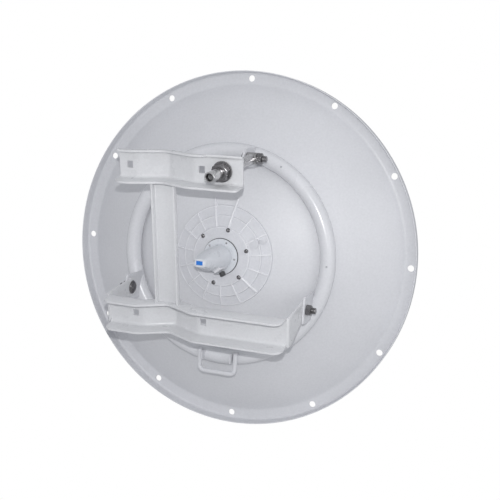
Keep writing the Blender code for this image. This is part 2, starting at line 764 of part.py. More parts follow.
def make_adjuster():
    """The rod and its nuts, from the top pin forwards through the upper bracket."""
    behind = PIVOT_BEHIND_RIM - TOP_PIN_BEHIND_RIM
    above = TOP_PIN_ABOVE_AXIS + PIVOT_BELOW_AXIS
    pin_y = PIVOT_Y + behind * math.cos(DOWNTILT) + above * math.sin(DOWNTILT)
    pin_z = PIVOT_Z + above * math.cos(DOWNTILT) - behind * math.sin(DOWNTILT)
    middle_y = SHEET / 2
    slope = math.atan2(ROD_WEB_Z - pin_z, pin_y - middle_y)
    pin = empty("rod_pin", (MID_X + ROD_X, pin_y, pin_z), (math.pi / 2 - slope, 0, 0))
    profile = [(0, ROD_LONG - ROD_RECESS_DEEP), (ROD_RECESS_R, ROD_LONG - ROD_RECESS_DEEP)]
    profile += [(ROD_RECESS_R, ROD_LONG), (ROD_R - ROD_CHAMFER, ROD_LONG), (ROD_R, ROD_LONG - ROD_CHAMFER)]
    profile += [(ROD_R, 0), (0, 0)]
    rod = turned("adjuster_rod", profile, "steel", pin, (0, 0, 0), (0, 0, 0))
    eye_x = TOP_LUG_X + LUG_THICK + GAP + EYE_LONG / 2 - ROD_X
    eye = cylinder_mesh("rod_eye", EYE_R, EYE_LONG)
    boolean(rod, cutter("rod_eye", eye, pin, (eye_x, 0, 0), SIDEWAYS), "UNION")
    bore = cylinder_mesh("rod_eye_bore", BOLT_HOLE_R, EYE_LONG + CUT_DEEP)
    boolean(rod, cutter("rod_eye_bore", bore, pin, (eye_x, 0, 0), SIDEWAYS))
    to_web = (pin_y - middle_y) / math.cos(slope)
    clear = SHEET / 2 + WASHER_FREE + ROD_WASHER_R * math.tan(slope)
    front = to_web + clear
    back = to_web - clear
    thick = ROD_WASHER_THICK
    for name, low in (("front_washer", front), ("rear_washer", back - thick)):
        profile = washer_profile(ROD_BORE_R, ROD_WASHER_R, low, low + thick)
        turned(name, profile, "dark_steel", pin, (0, 0, 0), (0, 0, 0), closed=True, steps=32)
    place = (0, 0, front + thick + GAP + FRONT_NUT_THICK / 2)
    turn = (0, 0, ROD_NUT_TURN)
    hex_nut("front_nut", ROD_NUT_FLATS, ROD_BORE_R, FRONT_NUT_THICK, "dark_steel", pin, place, turn)
    place = (0, 0, back - thick - GAP - REAR_NUT_THICK / 2)
    hex_nut("rear_nut", ROD_NUT_FLATS, ROD_BORE_R, REAR_NUT_THICK, "dark_steel", pin, place, turn)


clear_scene()
PARTS = new_collection("microwave_dish_antenna")
CUTTERS = new_collection("cutters")
mount_origin = empty("mount_origin", (MID_X, 0, 0))
elevation_axis = empty("elevation_axis", (MID_X, PIVOT_Y, PIVOT_Z), (-DOWNTILT, 0, 0))
rim_centre = empty("rim_centre", (0, PIVOT_BEHIND_RIM, PIVOT_BELOW_AXIS), parent=elevation_axis)
make_upper_bracket(mount_origin)
make_lower_bracket(mount_origin)
make_column(mount_origin)
make_side_pivots(mount_origin)
make_adjuster()
make_reflector(rim_centre)
seat = make_ring(rim_centre)
make_lugs(rim_centre, seat)
make_hub(rim_centre)
make_feed(rim_centre)
make_front_feed(rim_centre)
make_handle(rim_centre, seat)
make_top_pin(rim_centre)
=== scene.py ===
"""Looks of the microwave dish antenna, seen as in the photo."""

import math

import bmesh
import bpy
from mathutils import Matrix, Vector


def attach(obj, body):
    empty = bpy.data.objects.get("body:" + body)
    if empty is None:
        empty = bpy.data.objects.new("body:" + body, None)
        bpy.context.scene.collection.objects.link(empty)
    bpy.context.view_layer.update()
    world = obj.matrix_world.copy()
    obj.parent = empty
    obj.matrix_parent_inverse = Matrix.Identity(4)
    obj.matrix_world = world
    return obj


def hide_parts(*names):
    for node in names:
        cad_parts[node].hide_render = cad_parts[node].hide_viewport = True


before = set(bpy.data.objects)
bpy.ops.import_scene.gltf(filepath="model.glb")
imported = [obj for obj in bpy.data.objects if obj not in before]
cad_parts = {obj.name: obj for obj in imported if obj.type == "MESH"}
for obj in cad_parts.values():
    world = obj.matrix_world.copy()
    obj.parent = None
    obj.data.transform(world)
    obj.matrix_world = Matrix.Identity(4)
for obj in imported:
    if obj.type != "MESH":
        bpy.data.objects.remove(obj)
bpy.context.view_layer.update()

# Lengths are in metres. Phases, the ring vents and HEAD_ARC are in degrees, other turns in radians.

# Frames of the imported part
MID_X = -0.0525
TILT = math.radians(11.0)
MOUNT = Matrix.Translation((MID_X, 0, 0))
DISH = Matrix.Translation((MID_X, 0.32253, 0.0775)) @ Matrix.Rotation(-TILT, 4, "X")
UPRIGHT = Matrix.Rotation(math.pi / 2, 4, "X")
SIDEWAYS = Matrix.Rotation(math.pi / 2, 4, "Y")
AXIS = DISH @ UPRIGHT
ROD_SLOPE = math.radians(2.53)
ROD = Matrix.Translation((0.0255, 0.1905, 0.36)) @ Matrix.Rotation(math.pi / 2 - ROD_SLOPE, 4, "X")
YZ_PLANE = Matrix.Rotation(math.pi / 2, 4, "Z") @ UPRIGHT

# Reflector and ring
RIM_R = 0.4724
RIM_BOLT_R = 0.455
RIM_BOLT_COUNT = 12
RIM_HOLE_R = 0.0083
LIP_DEPTH = 0.0325
LIP_BEND_R = 0.0067
DISH_DEPTH = 0.139
FOCAL_LENGTH = 0.34875
SHELL = 0.0025
RING_R = 0.267
RING_TUBE_R = 0.020
RING_BEHIND_RIM = 0.1093
RING_VENTS = ((60, 78), (0, 85))

# Hub
HUB_R = 0.1295
HUB_TOP = 0.152
HUB_BEAD_R = 0.0012
HUB_BEADS = ((0.0738, 0.1511), (0.1024, 0.1409), (0.1272, 0.1319))
RIB_COUNT = 15
RIB_PHASE = 7
RIB_END = 0.127
LONG_RIB_END = 0.150
LONG_RIBS = (3, 4)
RIB_THICK = 0.0032
RIB_WIDE = {1: 0.0040, 3: 0.0052, 4: 0.0042, 12: 0.0038, 13: 0.0066}
RIB_ROUND = 0.42
PAD_R = 0.014
PAD_AT = (0.0815, 0.040, 0.1445)
TAB_SIZE = (0.018, 0.008, 0.008)
TAB_AT = (0.1035, 0.045, 0.1355)
HUB_SCREW_COUNT = 6
HUB_SCREW_PHASE = 77
HUB_SCREW_AT_R = 0.0697
HUB_BOSS_AT_R = 0.0660
SCREW_DOME_R = 0.0072
SCREW_HEAD_R = 0.0059
SCREW_HEAD_HIGH = 0.0036
SCREW_SLOT = (0.0055, 0.0009, 0.003)
SCREW_SLOT_TURN = 0.4

# Feed
GASKET_R = 0.0470
GASKET_THICK = 0.0017
FLANGE_R = 0.0455
FLANGE_TOP = 0.1575
FLANGE_BORE_R = 0.010
FEED_SCREW_COUNT = 5
FEED_SCREW_PHASE = 67
FEED_SCREW_AT_R = 0.0390
FEED_END_H = 0.288
PORT_FROM_H = 0.232
PORT_NARROW = (0.20, 0.46)
PORT_CURVE = 1.4
PORT_SQUARE = 1.6
PORT_SIZE = (0.024, 0.0105, 0.016)
PORT_SEAL_SIZE = (0.0236, 0.0101, 0.0022)
PORT_SEAL_IN = 0.0021
FILM_SIZE = (0.0165, 0.0096, 0.0014)
FILM_X = -0.0012
FILM_IN = 0.0013
BOSS_SIZE = (0.018, 0.0115, 0.048)
BOSS_X = 0.0150
BOSS_Z = -0.0236
BOSS_H = 0.194
BOSS_TURN = math.radians(42)
PLUG_R = 0.0078
PLUG_GROOVE_R = 0.0064
PLUG_PITCH = 0.0023
PLUG_GROOVES = 5
PLUG_LONG = 0.0120
PLUG_X = 0.0112
PLUG_Y = -0.170
PLUG_Z = -0.0355
PLUG_TURN = -0.5

# Front feed
COLLAR_R = 0.044
COLLAR_THICK = 0.006
COLLAR_SCREW_COUNT = 4
COLLAR_SCREW_AT_R = 0.037
COLLAR_SCREW_HIGH = 0.0015
TUBE_R = 0.016
TUBE_END = -0.158
HORN_START = -0.1575
HORN_END = -0.1925
SPLASH_R = 0.048
SPLASH_END = -0.1996

# Lugs, pivots and handle
PIVOT_BEHIND_RIM = 0.181
PIVOT_BELOW_AXIS = 0.1014
PIVOT_Y = 0.1255
PIVOT_Z = 0.0125
LUG_THICK = 0.005
LUG_ROOT_Y = -0.112
LUG_PAST_PIN = 0.020
LUG_HALF_HIGH = 0.034
LUG_CORNER = 0.009
TOP_LUG_X = 0.0607
TOP_LUG_R = 0.023
TOP_LUG_ROOT = [(-0.112, 0.279), (-0.105, 0.276), (-0.105, 0.232), (-0.112, 0.227)]
TOP_PIN = (-0.1835, 0.2521)
HANDLE_R = 0.006
HANDLE_HALF = 0.049
HANDLE_LOW = -0.305
HANDLE_HIGH = -0.246
HANDLE_BEND_R = 0.014
CLIP_X = 0.0395
CLIP_THICK = 0.0025
CLIP_HIGH = 0.022
CLIP_IN = 0.006
CLIP_OUT = 0.020

# Bolts, nuts and adjuster
GAP = 0.0003
BOLT_R = 0.0078
HOLE_R = 0.0083
HEAD_R = 0.0175
HEAD_HIGH = 0.0088
HEAD_EDGE = 0.0012
HEAD_ARC = 64
NUT_FLATS = 0.024
NUT_THICK = 0.013
NUT_BORE_R = BOLT_R - 0.0002
BOLT_PROUD = 0.0105
BOLT_PITCH = 0.002
BOLT_THREAD_DEEP = 0.0007
EYE_LONG = 0.026
EYE_R = 0.0145
EYE_X = 0.001
ROD_R = 0.012
ROD_LONG = 0.2683
ROD_START = 0.008
ROD_THREAD_START = 0.022
ROD_SMOOTH = 0.2200
ROD_PITCH = 0.003
ROD_THREAD_DEEP = 0.0003
SOCKET_R = 0.0086
WASHER_R = 0.0235
WASHER_BORE_R = 0.0124
WASHER_THICK = 0.004
WASHERS = (("front", 0.19262), ("rear", 0.18024))
BIG_NUT_FLATS = 0.036
BIG_NUT_BORE_R = 0.0122
BIG_NUT_TURN = 0.3
BIG_NUTS = (("front", 0.20642, 0.019), ("rear", 0.17394, 0.012))

# Pressed brackets
SHEET = 0.0045
SHEET_EDGE = 0.0007
BEND_R = 0.012
FLANGE_DEEP = 0.045
VEE = (-0.134, -0.062, 0.010)
VEE_MIDS = {-0.098, -0.026}
CREASE = 0.006
SQUARE_HOLE = (0.0145, 0.03, 0.0165)
UPPER_LOW = 0.3341
UPPER_HIGH = 0.4055
UPPER_LEFT = -0.176
UPPER_RIGHT = 0.1255
UPPER_VEE_DEEP = 0.0238
UPPER_TOP_DEEP = 0.021
UPPER_TOP_STEP = 0.0132
UPPER_STEP_X = 0.0386
UPPER_STEP_LONG = 0.006
UPPER_TOP_CORNER = 0.008
UPPER_LEFT_CORNER = 0.024
UPPER_RIGHT_CORNER = 0.010
UPPER_HOLES_X = (-0.1504, 0.0281)
UPPER_HOLES_Z = 0.3688
SLOT_R = 0.0145
SLOT_HALF = 0.0023
SLOT_X = 0.078
SLOT_Z = 0.3684
LOWER_LOW = -0.035
LOWER_HIGH = 0.040
LOWER_VEE_DEEP = 0.0325
LOWER_END = 0.2235
LOWER_RIGHT_END = 0.2275
LOWER_CORNER = 0.022
LOWER_HOLES_X = (-0.1543, 0.0227)
LOWER_HOLES_Z = 0.0012
ARM_NOTCH = 0.003
ARM_OUT_X = 0.2345
ARM_BEND_R = 0.002
ARM_TAPER_Y = 0.024
EAR_R = 0.0245
EAR_RISE = 0.002
COLUMN_X = -0.065
COLUMN_HALF = 0.0295
COLUMN_BEND_R = 0.007
COLUMN_DEEP = 0.0145
COLUMN_SINK = 0.0002

# Camera found from the photo
CAMERA_AT = Vector((0.6735, -1.6185, 0.7625))
CAMERA_TURN = math.radians(19.87)
CAMERA_RISE = math.radians(18.3)
CAMERA_ROLL = math.radians(-0.2)
CAMERA_LENS = 58.2

# Light and floor
KEY_POWER = 16.0
KEY_SIZE = 0.022
KEY_ABOVE = 0.11
KEY_AIM = (MID_X, 0.2, 0.1)
SIDE_POWER = 2.0
SIDE_SIZE = 0.7
SIDE_AT = (1.2, -0.55, 0.5)
SIDE_AIM = (0.2, 0.2, 0.05)
FILL = 0.56
FILL_LEAN = 0.15
FILL_FROM = (0.1, -0.8, 0.6)
FILL_TINT = (0.935, 0.95, 0.99, 1)
FLOOR_Z = -1.6
FLOOR_SIZE = 60


# Materials

def node(tree, kind, settings=None, inputs=None):
    """A new shader node with its settings and the values of its inputs."""
    made = tree.nodes.new(kind)
    for key, value in (settings or {}).items():
        setattr(made, key, value)
    for key, value in (inputs or {}).items():
        made.inputs[key].default_value = value
    return made


def noise(tree, coordinates, scale, detail, stretch=(1, 1, 1)):
    """A noise texture's output."""
    spread = node(tree, "ShaderNodeMapping", inputs={"Scale": stretch})
    tree.links.new(coordinates, spread.inputs["Vector"])
    made = node(tree, "ShaderNodeTexNoise", inputs={"Scale": scale, "Detail": detail, "Roughness": 0.55})
    tree.links.new(spread.outputs["Vector"], made.inputs["Vector"])
    return made.outputs["Fac"]


def ranged(tree, value, low, high):
    """A noise's output, most of it between 0.3 and 0.7, spread over a range."""
    ends = {"From Min": 0.3, "From Max": 0.7, "To Min": low, "To Max": high}
    made = node(tree, "ShaderNodeMapRange", inputs=ends)
    tree.links.new(value, made.inputs["Value"])
    return made.outputs["Result"]


def surface(name, colour, roughness, metallic=0.0, mottle=0.04, mottle_scale=6.0, grain=0.03,
            grain_scale=180.0, vary=0.06, bump=0.00015, bump_scale=700.0, stretch=(1, 1, 1)):
    """A finish with slow mottling, fine grain, uneven gloss and a fine bump, all from noise."""
    material = bpy.data.materials.new(name + "_look")
    material.use_nodes = True
    tree = material.node_tree
    shader = tree.nodes["Principled BSDF"]
    shader.inputs["Metallic"].default_value = metallic
    place = node(tree, "ShaderNodeTexCoord").outputs["Object"]
    slow = noise(tree, place, mottle_scale, 5.0)
    fine = noise(tree, place, grain_scale, 3.0, stretch)
    product = node(tree, "ShaderNodeMath", {"operation": "MULTIPLY"})
    tree.links.new(ranged(tree, slow, 1 - mottle, 1 + mottle), product.inputs[0])
    tree.links.new(ranged(tree, fine, 1 - grain, 1 + grain), product.inputs[1])
    tint = node(tree, "ShaderNodeVectorMath", {"operation": "SCALE"})
    tint.inputs[0].default_value = colour
    tree.links.new(product.outputs[0], tint.inputs["Scale"])
    tree.links.new(tint.outputs["Vector"], shader.inputs["Base Color"])
    rough = ranged(tree, slow, roughness - vary, roughness + vary)
    tree.links.new(rough, shader.inputs["Roughness"])
    relief = node(tree, "ShaderNodeBump", inputs={"Strength": 1.0, "Distance": bump})
    tree.links.new(noise(tree, place, bump_scale, 2.0, stretch), relief.inputs["Height"])
    tree.links.new(relief.outputs["Normal"], shader.inputs["Normal"])
    return material


FINISHES = {
    "dish_paint": dict(colour=(0.665, 0.67, 0.695), roughness=0.42, mottle=0.025, mottle_scale=5),
    "frame_paint": dict(colour=(0.67, 0.675, 0.69), roughness=0.30, mottle=0.03, mottle_scale=14),
    "hub_plastic": dict(colour=(0.655, 0.66, 0.69), roughness=0.45, mottle=0.03, mottle_scale=18),
    "feed_paint": dict(colour=(0.67, 0.69, 0.725), roughness=0.30, mottle=0.04, mottle_scale=30),
    "gloss_paint": dict(colour=(0.68, 0.685, 0.71), roughness=0.24, bump=0.00006, mottle=0.02,
                        mottle_scale=9),
    # Paler than the hub's plastic: on the hub's ribs and beads this is a painted highlight, on the port's
    # seal it is the seal's own white.
    "white_seal_and_rib_highlight": dict(colour=(0.77, 0.775, 0.80), roughness=0.24, bump=0.00004, mottle=0.03),
    # Grey caps where the ring's vent holes are: the grey is painted shade of the holes.
    "vent_hole_shade": dict(colour=(0.40, 0.41, 0.43), roughness=0.5, mottle=0.1),
    "steel": dict(colour=(0.62, 0.615, 0.615), roughness=0.17, metallic=1.0, bump=0.00003,
                  mottle=0.12, mottle_scale=50, grain=0.08),
    "dark_steel": dict(colour=(0.23, 0.225, 0.23), roughness=0.26, metallic=1.0, bump=0.00004,
                       mottle=0.2, mottle_scale=60),
    "worn_steel": dict(colour=(0.42, 0.415, 0.415), roughness=0.30, metallic=1.0, bump=0.00005,
                       mottle=0.1, mottle_scale=60),
    "screw_steel": dict(colour=(0.20, 0.195, 0.20), roughness=0.26, metallic=1.0, bump=0.00002,
                        mottle=0.15, mottle_scale=90, vary=0.03),
    # Darker and rougher than the rod's steel: painted shade inside the socket at the rod's end.
    "socket_painted_shade": dict(colour=(0.16, 0.16, 0.163), roughness=0.36, metallic=1.0, mottle=0.15,
                         mottle_scale=90),
    "black_rubber": dict(colour=(0.04, 0.04, 0.043), roughness=0.5, grain=0.15, mottle=0.1),
    "grey_rubber": dict(colour=(0.075, 0.075, 0.08), roughness=0.5, mottle=0.15, grain=0.1),
    "blue_film": dict(colour=(0.03, 0.20, 0.66), roughness=0.25, mottle=0.1, mottle_scale=90),
    "dielectric": dict(colour=(0.75, 0.75, 0.72), roughness=0.45, mottle=0.03),
    "aluminium": dict(colour=(0.70, 0.70, 0.72), roughness=0.32, metallic=1.0, mottle=0.05,
                      stretch=(1, 1, 9)),
}
LOOKS = {name: surface(name, **settings) for name, settings in FINISHES.items()}


# Shapes

def arc(centre, radius, start, end, count):
    """Points on an arc, angles in degrees."""
    points = []
    for i in range(count + 1):
        angle = math.radians(start + (end - start) * i / count)
        points.append((centre[0] + radius * math.cos(angle), centre[1] + radius * math.sin(angle)))
    return points


def circle(centre, radius, count=48):
    """Points round a whole circle."""
    return arc(centre, radius, 0, 360, count)[:-1]


def polar(r, degrees, h):
    """A point at a radius and an angle round Z."""
    angle = math.radians(degrees)
    return (r * math.cos(angle), r * math.sin(angle), h)


def to_mesh(solid):
    """A mesh from an editable one, which is freed."""
    mesh = bpy.data.meshes.new("shape")
    solid.to_mesh(mesh)
    solid.free()
    return mesh


def lathe(profile, steps=64, closed=False):
    """A mesh turned about Z from (radius, height) points."""
    solid = bmesh.new()
    rings = []
    for r, h in profile:
        count = 1 if r < 1e-7 else steps
        angles = [2 * math.pi * i / steps for i in range(count)]
        rings.append([solid.verts.new((r * math.cos(a), r * math.sin(a), h)) for a in angles])
    pairs = list(zip(rings, rings[1:]))
    if closed:
        pairs.append((rings[-1], rings[0]))
    for a, b in pairs:
        for i in range(steps):
            j = (i + 1) % steps
            corners = [a[i % len(a)], a[j % len(a)], b[j % len(b)], b[i % len(b)]]
            corners = list(dict.fromkeys(corners))
            if len(corners) > 2:
                solid.faces.new(corners)
    bmesh.ops.recalc_face_normals(solid, faces=solid.faces)
    return to_mesh(solid)


def drill(radius, half, steps):
    """A round cutter about Z."""
    return lathe([(0, -half), (radius, -half), (radius, half), (0, half)], steps)


def rounded(profile, radii, count=4):
    """A (radius, height) polyline with its inner corners filleted."""
    points = [profile[0]]
    for before, corner, after, radius in zip(profile, profile[1:], profile[2:], radii):
        c = Vector(corner)
        u = Vector(before) - c
        v = Vector(after) - c
        cut = min(radius, u.length * 0.45, v.length * 0.45)
        if cut <= 0:
            points.append(corner)
            continue
        a = c + u.normalized() * cut
        b = c + v.normalized() * cut
        for i in range(count + 1):
            t = i / count
            p = a * (1 - t) ** 2 + c * 2 * t * (1 - t) + b * t * t
            points.append((p.x, p.y))
    points.append(profile[-1])
    return points


def plate(outlines, thickness, edge=0.0006):
    """A plate in the local XY plane, centred on it, with softened edges. Later outlines are holes."""
    curve = bpy.data.curves.new("plate", "CURVE")
    curve.dimensions = "2D"
    curve.fill_mode = "BOTH"
    curve.extrude = thickness / 2 - edge
    curve.bevel_depth = edge
    curve.bevel_resolution = 2
    curve.offset = -edge
    for outline in outlines:
        spline = curve.splines.new("POLY")
        spline.points.add(len(outline) - 1)
        spline.use_cyclic_u = True
        for point, (x, y) in zip(spline.points, outline):
            point.co = (x, y, 0, 1)
    return curve_mesh(curve)


def curve_mesh(curve):
    """The mesh of a curve, with its double points merged."""
    guide = bpy.data.objects.new("guide", curve)
    mesh = settled(guide)
    solid = bmesh.new()
    solid.from_mesh(mesh)
    bmesh.ops.remove_doubles(solid, verts=solid.verts, dist=0.00001)
    bmesh.ops.recalc_face_normals(solid, faces=solid.faces)
    solid.to_mesh(mesh)
    solid.free()
    return mesh


def settled(obj):
    """The object's mesh with its modifiers applied. The object is removed."""
    bpy.context.scene.collection.objects.link(obj)
    bpy.context.view_layer.update()
    graph = bpy.context.evaluated_depsgraph_get()
    mesh = bpy.data.meshes.new_from_object(obj.evaluated_get(graph))
    bpy.data.objects.remove(obj, do_unlink=True)
    mesh.materials.clear()
    return mesh


def combine(mesh, other, operation="DIFFERENCE"):
    """The first mesh with the second one cut out of it, or cut to their common part."""
    tool = bpy.data.objects.new("tool", other)
    bpy.context.scene.collection.objects.link(tool)
    work = bpy.data.objects.new("work", mesh)
    modifier = work.modifiers.new("combine", "BOOLEAN")
    modifier.operation = operation
    modifier.solver = "EXACT"
    modifier.object = tool
    result = settled(work)
    bpy.data.objects.remove(tool, do_unlink=True)
    return result


def joined(*meshes):
    """One mesh from several."""
    solid = bmesh.new()
    for mesh in meshes:
        solid.from_mesh(mesh)
    return to_mesh(solid)


def moved(mesh, matrix):
    """The same mesh, moved and turned by a matrix."""
    mesh.transform(matrix)
    return mesh


def shifted(mesh, x=0.0, y=0.0, z=0.0):
    """The same mesh, moved along its axes."""
    return moved(mesh, Matrix.Translation((x, y, z)))


def block(size, edge=0.0006, segments=3):
    """A box about the origin with softened edges."""
    solid = bmesh.new()
    bmesh.ops.create_cube(solid, size=1)
    bmesh.ops.scale(solid, vec=size, verts=solid.verts)
    obj = bpy.data.objects.new("block", to_mesh(solid))
    bevel = obj.modifiers.new("edge", "BEVEL")
    bevel.width = edge
    bevel.segments = segments
    return settled(obj)


def closed_under(mesh):
    """Closes a turned cap by a face over its open rim."""
    solid = bmesh.new()
    solid.from_mesh(mesh)
    rim = [e for e in solid.edges if e.is_boundary]
    if rim:
        bmesh.ops.holes_fill(solid, edges=rim)
        bmesh.ops.recalc_face_normals(solid, faces=solid.faces)
    return to_mesh(solid)


def threaded(radius, start, end, pitch, deep, steps):
    """A rod's threaded surface about Z, open at its ends."""
    solid = bmesh.new()
    count = max(2, round((end - start) / pitch * 6))
    rows = []
    for k in range(count + 1):
        z = start + (end - start) * k / count
        room = max(min(1.0, (z - start) / pitch, (end - z) / pitch), 0.0)
        row = []
        for i in range(steps):
            turn = (z / pitch - i / steps) % 1.0
            depth = deep * (0.5 + 0.5 * math.cos(2 * math.pi * turn))
            r = radius - depth * room - (1 - room) * deep * 0.6
            angle = 2 * math.pi * i / steps
            row.append(solid.verts.new((r * math.cos(angle), r * math.sin(angle), z)))
        rows.append(row)
    for a, b in zip(rows, rows[1:]):
        for i in range(steps):
            j = (i + 1) % steps
            solid.faces.new((a[i], a[j], b[j], b[i]))
    return to_mesh(solid)


def grid_mesh(rows):
    """A surface through rows of points."""
    solid = bmesh.new()
    grid = [[solid.verts.new(point) for point in row] for row in rows]
    for first, second in zip(grid, grid[1:]):
        for a, b, c, d in zip(first, second, second[1:], first[1:]):
            solid.faces.new((a, b, c, d))
    bmesh.ops.remove_doubles(solid, verts=solid.verts, dist=0.00001)
    return to_mesh(solid)


def sheet_metal(mesh):
    """A surface given the sheet's thickness, on the side that its faces turn away from."""
    obj = bpy.data.objects.new("sheet", mesh)
    skin = obj.modifiers.new("sheet", "SOLIDIFY")
    skin.thickness = SHEET
    skin.use_even_offset = True
    bevel = obj.modifiers.new("edge", "BEVEL")
    bevel.width = SHEET_EDGE
    bevel.segments = 2
    bevel.limit_method = "ANGLE"
    bevel.angle_limit = math.radians(60)
    return settled(obj)


def show(name, mesh, matrix, look, body, *nodes, finish=None):
    """Puts a finished mesh into the scene, in the part's own frame."""
    mesh.transform(matrix)
    mesh.materials.clear()
    mesh.materials.append(LOOKS[finish or look])
    mesh.shade_smooth()
    mesh.set_sharp_from_angle(angle=math.radians(32))
    obj = bpy.data.objects.new(name, mesh)
    bpy.context.scene.collection.objects.link(obj)
    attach(obj, body)
    if nodes:
        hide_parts(*nodes)


# Reflector

def dish_height(r):
    """The rear skin's height behind the rim, at a radius."""
    return DISH_DEPTH - r * r / (4 * FOCAL_LENGTH)


def offset_line(points, distance):
    """The points moved sideways, to the right of the way they run."""
    moved_points = []
    for i, point in enumerate(points):
        before = Vector(points[max(i - 1, 0)])
        after = Vector(points[min(i + 1, len(points) - 1)])
        run = (after - before).normalized()
        moved_points.append((max(point[0] + run.y * distance, 0), point[1] - run.x * distance))
    return moved_points


def reflector_profile():
    """The reflector's closed (radius, height) outline: rear skin, turned lip and front skin."""
    edge_r = math.sqrt(4 * FOCAL_LENGTH * DISH_DEPTH)
    radii = [edge_r * i / 44 for i in range(44)]
    rear = [(r, dish_height(r)) for r in radii]
    lip_r = RIM_R - SHELL
    corner = rounded([rear[-1], (edge_r, 0), (lip_r - LIP_BEND_R, 0)], [0.005], 6)
    rear += corner[1:-1]
    rear += arc((lip_r - LIP_BEND_R, LIP_BEND_R), LIP_BEND_R, -90, 0, 8)
    rear += [(lip_r, LIP_DEPTH - 0.001)]
    front = offset_line(rear, SHELL)
    front[0] = (0, rear[0][1] - SHELL)
    lip = arc((lip_r + SHELL / 2, LIP_DEPTH - SHELL / 2), SHELL / 2, 180, 0, 6)
    return rear[:-1] + lip + front[::-1][1:]


def make_reflector():
    holes = []
    for k in range(RIM_BOLT_COUNT):
        turn = 2 * math.pi * k / RIM_BOLT_COUNT
        x, y = RIM_BOLT_R * math.cos(turn), RIM_BOLT_R * math.sin(turn)
        holes.append(shifted(drill(RIM_HOLE_R, 0.01, 32), x, y))
    mesh = combine(lathe(reflector_profile(), 288), joined(*holes))
    show("reflector_skin", mesh, AXIS, "dish_paint", "dish", "reflector")


def make_ring():
    mesh = lathe(circle((RING_R, 0), RING_TUBE_R, 40), 240, closed=True)
    mesh = shifted(mesh, z=RING_BEHIND_RIM)
    show("ring_tube", mesh, AXIS, "dish_paint", "dish", "back_ring", finish="gloss_paint")
    profile = [(0, RING_TUBE_R + 0.0002), (0.0016, RING_TUBE_R + 0.0003), (0.0024, RING_TUBE_R + 0.0006),
               (0.0028, RING_TUBE_R - 0.001)]
    for k, (turn, lean) in enumerate(RING_VENTS):
        out = Matrix.Rotation(math.radians(turn), 4, "Z")
        at = out @ Matrix.Translation((RING_R, 0, RING_BEHIND_RIM))
        at = at @ Matrix.Rotation(math.radians(90 - lean), 4, "Y")
        # The vent caps are coloured darker than the ring: painted shade of the holes.
        show(f"ring_vent_{k}", lathe(profile, 24), AXIS @ at, "dish_paint", "dish", finish="vent_hole_shade")


# Lugs on the ring

def make_lugs():
    pin_y, pin_z = -PIVOT_BEHIND_RIM, -PIVOT_BELOW_AXIS
    end_y = pin_y - LUG_PAST_PIN
    low, high = pin_z - LUG_HALF_HIGH, pin_z + LUG_HALF_HIGH
    outline = [(LUG_ROOT_Y, low)]
    outline += arc((end_y + LUG_CORNER, low + LUG_CORNER), LUG_CORNER, 270, 180, 10)
    outline += arc((end_y + LUG_CORNER, high - LUG_CORNER), LUG_CORNER, 180, 90, 10)
    outline.append((LUG_ROOT_Y, high))
    lug_x = ARM_OUT_X + GAP + LUG_THICK / 2
    for word, side in (("left", -1), ("right", 1)):
        mesh = plate([outline, circle((pin_y, pin_z), HOLE_R)], LUG_THICK)
        at = DISH @ Matrix.Translation((side * lug_x, 0, 0)) @ YZ_PLANE
        show(f"{word}_lug_plate", mesh, at, "dish_paint", "dish", f"{word}_lug")
    outline = arc(TOP_PIN, TOP_LUG_R, 250, 105, 24) + TOP_LUG_ROOT
    mesh = plate([outline, circle(TOP_PIN, HOLE_R)], LUG_THICK)
    at = DISH @ Matrix.Translation((TOP_LUG_X + LUG_THICK / 2, 0, 0)) @ YZ_PLANE
    show("top_lug_plate", mesh, at, "dish_paint", "dish", "top_lug")


# Hub

def rib_outline(outer_r):
    """A rib's (radius, height) outline, from inside the hub's plateau out to a radius."""
    root = dish_height(outer_r)
    return [
        (0.070, 0.1492), (0.082, 0.1486), (0.1045, 0.1446), (0.1265, 0.1356), (outer_r, root + 0.004),
        (outer_r, root - 0.001), (0.105, dish_height(0.105) - 0.001), (0.070, 0.135),
    ]


def bead(radius, height):
    """A rounded moulding line round the hub."""
    return lathe(circle((radius, height), HUB_BEAD_R, 12), 160, closed=True)


def hub_ribs():
    """The hub's moulding lines and radial ribs."""
    ribs = [bead(r, h) for r, h in HUB_BEADS]
    for k in range(RIB_COUNT):
        wide = RIB_WIDE.get(k, RIB_THICK)
        outline = rib_outline(LONG_RIB_END if k in LONG_RIBS else RIB_END)
        turn = Matrix.Rotation(math.radians(RIB_PHASE + 360 // RIB_COUNT * k), 4, "Z")
        ribs.append(moved(plate([outline], wide, wide * RIB_ROUND), turn @ UPRIGHT))
    return ribs


def hub_screw_angles():
    """Where the hub's screws stand, in degrees."""
    return [HUB_SCREW_PHASE - 360 // HUB_SCREW_COUNT * k for k in range(HUB_SCREW_COUNT)]


def hub_screw():
    """A domed screw head with crossed slots."""
    drop = SCREW_DOME_R - SCREW_HEAD_HIGH
    dome = []
    for degrees in range(0, 56, 5):
        angle = math.radians(degrees)
        dome.append((SCREW_DOME_R * math.sin(angle), SCREW_DOME_R * math.cos(angle) - drop))
    head = lathe(dome + [(SCREW_HEAD_R, 0)], 32)
    for turn in (SCREW_SLOT_TURN, SCREW_SLOT_TURN + math.pi / 2):
        slot = moved(block(SCREW_SLOT, 0.0001, 1), Matrix.Rotation(turn, 4, "Z"))
        head = combine(closed_under(head), shifted(slot, z=SCREW_HEAD_HIGH))
    return head


